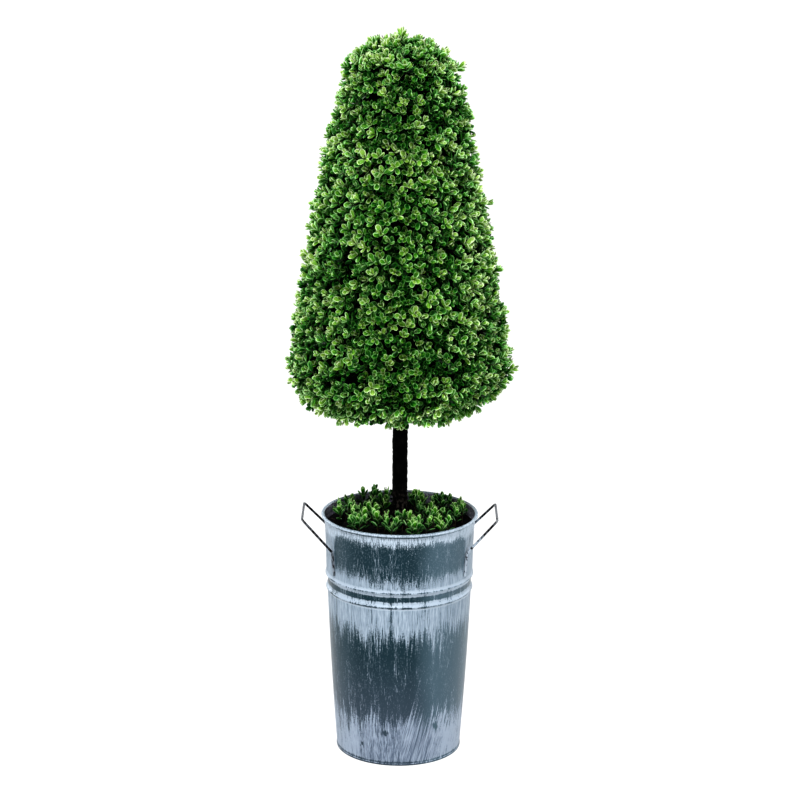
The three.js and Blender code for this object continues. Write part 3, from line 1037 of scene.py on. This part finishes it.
def wire_finish():
    """Drawn wire: dark, with the grip painted lighter as a highlight and whitewash on the legs."""
    finish = Finish("handle_wire", Specular_IOR_Level=0.05)
    place = finish.place()
    height = finish.axis(place, "Z")
    across = finish.axis(place, "X")
    scuffs = finish.grain(place, (240.0, 240.0, 120.0), detail=3.0)
    bare = finish.blend(scuffs.smooth(0.46, 0.60), linear(10, 10, 11), linear(82, 85, 90))
    # The grip's paler grey is a painted highlight on the lit top of the wire.
    grip_highlight = (across * across).smooth(0.0209, 0.0220) * scuffs.smooth(0.30, 0.50)
    wire_with_highlight = finish.blend(grip_highlight, bare, linear(122, 124, 128))
    washed = finish.blend(scuffs.smooth(0.42, 0.50), linear(24, 28, 34), linear(152, 162, 172))
    # The brush that painted the wall caught the legs, and more of the wire on the right.
    right = across.smooth(-0.01, 0.01)
    legs = 1 - height.smooth(0.331, 0.335)
    splashed = legs * (0.5 + right * 0.5)
    splashed = splashed.at_least((1 - height.smooth(0.350, 0.364)) * right)
    finish.feed("Base Color", finish.blend(splashed, wire_with_highlight, washed))
    finish.feed("Roughness", 0.45 + scuffs * 0.2)
    finish.relief(scuffs, distance=0.05 * MM, strength=0.4)
    return finish.material


handle_finish = wire_finish()
for side, sign in (("right", 1), ("left", -1)):
    corners = [Vector((c.x * sign, c.y, c.z)) for c in HANDLE_CORNERS]
    wire = bent_wire(f"handle_wire_{side}", corners)
    finished(wire, [handle_finish], [f"handle_{side}"])

# %% [markdown]
# ## Pole
#
# The pole is a straight rod wrapped in dark rough bark. Bump alone would leave its edge ruler
# straight, so the surface itself is moved: deep upright furrows, then smaller knots.

# %% Model the pole
POLE_SIDES = 72
BARK_DEPTH = 1.5 * MM
BARK_LIFT = 0.7  # of that depth, so that the furrows reach down to the CAD's pole
SHOWN_FROM, SHOWN_TO = 0.350, 0.600
pole_foot, pole_head = float(pole_low[2]), float(pole_high[2])
shown_rings = np.linspace(SHOWN_FROM, SHOWN_TO, 150)
pole_heights = [pole_foot, *shown_rings, *np.linspace(SHOWN_TO, pole_head, 24)[1:]]
pole_outline = [(pole_radius / MM, z / MM) for z in pole_heights]
pole = raised("pole_bark", pole_outline, POLE_SIDES, capped=True)
for vertex in pole.data.vertices:
    x, y, z = vertex.co
    if z < pole_foot + MM or z > pole_head - MM:
        continue
    furrow = noise.noise(Vector((x * 260, y * 260, z * 45)))
    knot = noise.noise(Vector((x * 420, y * 420, z * 260)))
    push = BARK_DEPTH * (BARK_LIFT + 0.7 * furrow + 0.6 * knot)
    vertex.co += Vector((x, y, 0)).normalized() * push
smoothed(pole, 60)


def bark():
    finish = Finish("pole_bark", Specular_IOR_Level=0.06)
    place = finish.place()
    fibres = finish.grain(place, (900.0, 900.0, 140.0), detail=4.0, roughness=0.65)
    patches = finish.grain(place, (120.0, 120.0, 60.0), detail=2.0)
    tone = (fibres * 0.6 + patches * 0.4).smooth(0.50, 0.68)
    low = 1 - finish.axis(place, "Z").smooth(0.37, 0.44)
    blotches = finish.grain(place, (230.0, 230.0, 150.0), detail=3.0).smooth(0.50, 0.62)
    dark = finish.blend(tone, linear(3, 3, 4), linear(22, 20, 19))
    finish.feed("Base Color", finish.blend(low * blotches * 0.7, dark, linear(80, 74, 70)))
    finish.feed("Roughness", 0.85 - tone * 0.15)
    finish.relief(fibres, distance=0.9 * MM, strength=0.9)
    return finish.material


finished(pole, [bark()], ["trunk_pole"])

# %% [markdown]
# ## Filling and grit
#
# The bucket is filled almost to the rim with dark potting mix. The plug follows the wall, its top
# is pushed up and down by noise, and loose crumbs lie on it, because a smooth top would catch the
# light as one sheet.

# %% Model the filling
SOIL_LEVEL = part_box("filling")[1][2]
SOIL_ROUGHNESS = 2.2 * MM
BORE = pole_radius / MM + 0.3


def soil_height(x, y):
    """How far the top stands above or below its level."""
    near = Vector((x * 60, y * 60, 3.0))
    return SOIL_ROUGHNESS * (noise.noise(near) + 0.5 * noise.noise(near * 3.7) - 0.35)


soil_line = [(r - 1.1, z) for r, z in sheet_line if 1.2 < z < SOIL_LEVEL / MM]
soil_edge = (soil_line[-1][0] + 0.5, SOIL_LEVEL / MM)
soil_rings = [(r, SOIL_LEVEL / MM) for r in np.linspace(soil_edge[0], BORE, 44)]
soil_outline = [(94.6, 1.1), *soil_line, *soil_rings, (BORE, pole_foot / MM - 0.3)]
soil = raised("potting_mix", soil_outline, 96, capped=True)
for vertex in soil.data.vertices:
    reach = vertex.co.xy.length
    if vertex.co.z > SOIL_LEVEL - 0.1 * MM and reach < soil_edge[0] * MM - MM:
        vertex.co.z += soil_height(vertex.co.x, vertex.co.y)
smoothed(soil, 60)


def soil_mix(name, dark, pale):
    finish = Finish(name, Specular_IOR_Level=0.15)
    place = finish.place()
    grains = finish.grain(place, (700.0, 700.0, 700.0), detail=4.0, roughness=0.7)
    finish.feed("Base Color", finish.blend(grains.smooth(0.42, 0.72), linear(*dark), linear(*pale)))
    finish.feed("Roughness", 0.95 - grains * 0.15)
    finish.relief(grains, distance=1.2 * MM, strength=0.8)
    return finish.material


soil_finish = soil_mix("potting_mix", (5, 4, 6), (28, 24, 27))
finished(soil, [soil_finish], ["filling"])

# %% Scatter the grit
CRUMB_KINDS = 8
CRUMB_COUNT = 900
CRUMB_SIZES = (0.8 * MM, 2.6 * MM)
HUSK_SHARE = 0.3  # of the crumbs, in a paler finish


def crumb_model(chance):
    """One angular crumb about 2 units across, from a sphere of twenty faces."""
    crumb = started("crumb", bpy.ops.mesh.primitive_ico_sphere_add, subdivisions=1, radius=1.0)
    edit_all()
    squash = (chance.uniform(0.7, 1.2), chance.uniform(0.7, 1.2), chance.uniform(0.45, 0.8))
    bpy.ops.transform.resize(value=squash, center_override=(0, 0, 0))
    stop_editing()
    places = np.array([v.co[:] for v in crumb.data.vertices])
    places *= np.array([[chance.uniform(0.75, 1.2)] for _ in places])
    faces = np.array([f.vertices[:] for f in crumb.data.polygons])
    bpy.data.objects.remove(crumb)
    return places, faces


chance = random.Random(SEED + 1)
crumb_kinds = [crumb_model(chance) for _ in range(CRUMB_KINDS)]
crumbs = Copies()
for _ in range(CRUMB_COUNT):
    shape, faces = crumb_kinds[chance.randrange(CRUMB_KINDS)]
    reach = (BORE + 3 + (soil_edge[0] - BORE - 7) * math.sqrt(chance.random())) * MM
    angle = chance.uniform(0, math.tau)
    x, y = reach * math.cos(angle), reach * math.sin(angle)
    size = chance.uniform(*CRUMB_SIZES)
    spot = np.array([x, y, SOIL_LEVEL + soil_height(x, y) + size * 0.2])
    turned = shape * size @ turn("Z", chance.uniform(0, math.tau)).T
    crumbs.add(turned + spot, faces, np.full(len(faces), int(chance.random() < HUSK_SHARE)))
crumb_finishes = [soil_finish, soil_mix("potting_husk", (34, 29, 28), (92, 80, 70))]
finished(crumbs.joined("potting_crumbs", smooth=False), crumb_finishes, ["filling"])

# %% [markdown]
# ## Ground cover
#
# Small tufts of the same moulded leaf cover the filling. Each is a few short upright shoots from
# one foot. The growing rule is the crown's, with steeper and wider-spaced leaves and a fresher
# mix of greens. Every tuft takes its place and height from its own CAD solid.

# %% Grow the ground cover
SHOOT_KINDS = 16
SHOOT_LENGTH = 40 * MM
SHOOT_RULE = {"length": SHOOT_LENGTH, "pairs": 4, "spacing": 4.0 * MM, "smallest": 0.85}
SHOOT_RULE |= {"first_open": math.radians(14), "last_open": math.radians(56)}
SHOOT_RULE |= {"slim": 0.94, "long": 1.02}  # of the leaf's width and length
SHOOTS_PER_TUFT = 3
SHOOT_SPLAY = math.radians(20)
ROOT_SPREAD = 8 * MM
OUTERMOST = 98 * MM  # how far from the middle a shoot may stand
OUTWARD = np.array([1.08, 1.08, 1.0])
LEAST_SIZE = 0.86
COVER_CHANCES = (0.05, 0.20, 0.38, 0.28, 0.09)
COVER_BLADES = [(4, 34, 4), (7, 53, 7), (17, 82, 10), (38, 106, 15), (72, 135, 27)]
# The rim greens are painted highlights on the leaves' cup edges.
COVER_RIM_HIGHLIGHTS = [(66, 108, 60), (98, 144, 86), (130, 172, 110), (154, 190, 126), (172, 206, 138)]
PRESSED = {"ground_sprig_07": 0.9, "ground_sprig_09": 0.9, "ground_sprig_22": 0.8}  # of height

chance = random.Random(SEED + 2)
shoots = [grown_sprig(chance, **SHOOT_RULE) for _ in range(SHOOT_KINDS)]
tuft_nodes = [f"ground_sprig_{number:02d}" for number in range(1, 25)]
cover = Copies()
for node in tuft_nodes:
    low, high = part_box(node)
    middle = np.array([(low[0] + high[0]) / 2, (low[1] + high[1]) / 2, low[2]]) * OUTWARD
    height = (high[2] - low[2]) * PRESSED.get(node, 1.0)
    start = chance.uniform(0, math.tau)
    for number in range(SHOOTS_PER_TUFT):
        shoot = shoots[chance.randrange(SHOOT_KINDS)]
        around = start + number * math.tau / SHOOTS_PER_TUFT + either_way(chance, 0.4)
        splay = SHOOT_SPLAY * chance.uniform(0.2, 1.0)
        spread = ROOT_SPREAD * chance.uniform(0.5, 1.0)
        size = max(height / SHOOT_LENGTH, LEAST_SIZE) * chance.uniform(0.86, 1.0)
        aside = np.array([math.cos(around), math.sin(around), 0.0])
        root = middle + aside * spread
        root[2] -= max(0.0, size * SHOOT_LENGTH - height)
        reach = math.hypot(root[0], root[1])
        if reach > OUTERMOST:
            root[:2] *= OUTERMOST / reach
            splay *= 0.3
        direction = aside * math.sin(splay) + np.array([0.0, 0.0, math.cos(splay)])
        rotation = frame_along(direction, chance.uniform(0, math.tau))
        greens = len(COVER_BLADES)
        green = chance.choices(range(greens), COVER_CHANCES)[0]
        slots = leaf_slots(shoot, green, greens)
        cover.add(shoot[0] * size @ rotation.T + root, shoot[1], slots)
cover_finishes = leaf_finishes("cover", COVER_BLADES, COVER_RIM_HIGHLIGHTS, 0.42)
finished(cover.joined("ground_cover"), cover_finishes, tuft_nodes)
